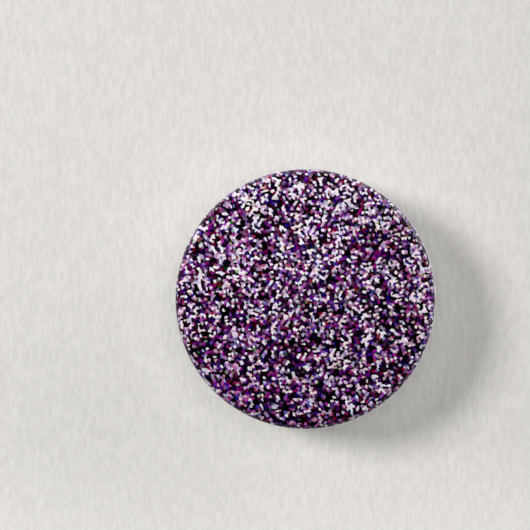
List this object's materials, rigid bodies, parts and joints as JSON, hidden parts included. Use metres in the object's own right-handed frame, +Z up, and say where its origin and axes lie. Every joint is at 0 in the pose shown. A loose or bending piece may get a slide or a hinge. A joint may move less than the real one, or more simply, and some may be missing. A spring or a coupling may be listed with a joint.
{
  "type": "pin-back button badge",
  "caption": "Round domed button badge with a glitter print under clear film on a steel shell, and a steel back with a spring wire pin and catch.",
  "frame": {"origin": "on the badge's axis, in the plane of the back rim that lies against the cloth", "axes": "-Y out of the printed face, +Y out of the back, +Z up as worn; from behind, +X is on the left, on the catch's side"},
  "size_m": [0.0318, 0.0058, 0.0318],
  "materials": {
    "clear_film": "clear glossy polyester film",
    "printed_paper": "printed paper, a fine mosaic of purple, black, white and pink flecks",
    "tinplate_front": "tinplate",
    "tinplate_back": "bright tinplate with a straight rolled grain",
    "spring_wire": "bright nickel-plated spring steel"
  },
  "bodies": {
    "badge": {"clear_film": "clear_film", "printed_disc": "printed_paper", "front_shell": "tinplate_front", "back_shell": "tinplate_back", "catch_wire": "spring_wire"},
    "pin": {"pin_arm": "spring_wire"}
  },
  "joints": [
    {"name": "pin_open", "type": "hinge", "parent": "badge", "child": "pin", "pos_m": [-0.0094, -0.00195, -0.0004], "axis": [0.866, 0.5, 0], "range_deg": [0, 150]}
  ]
}
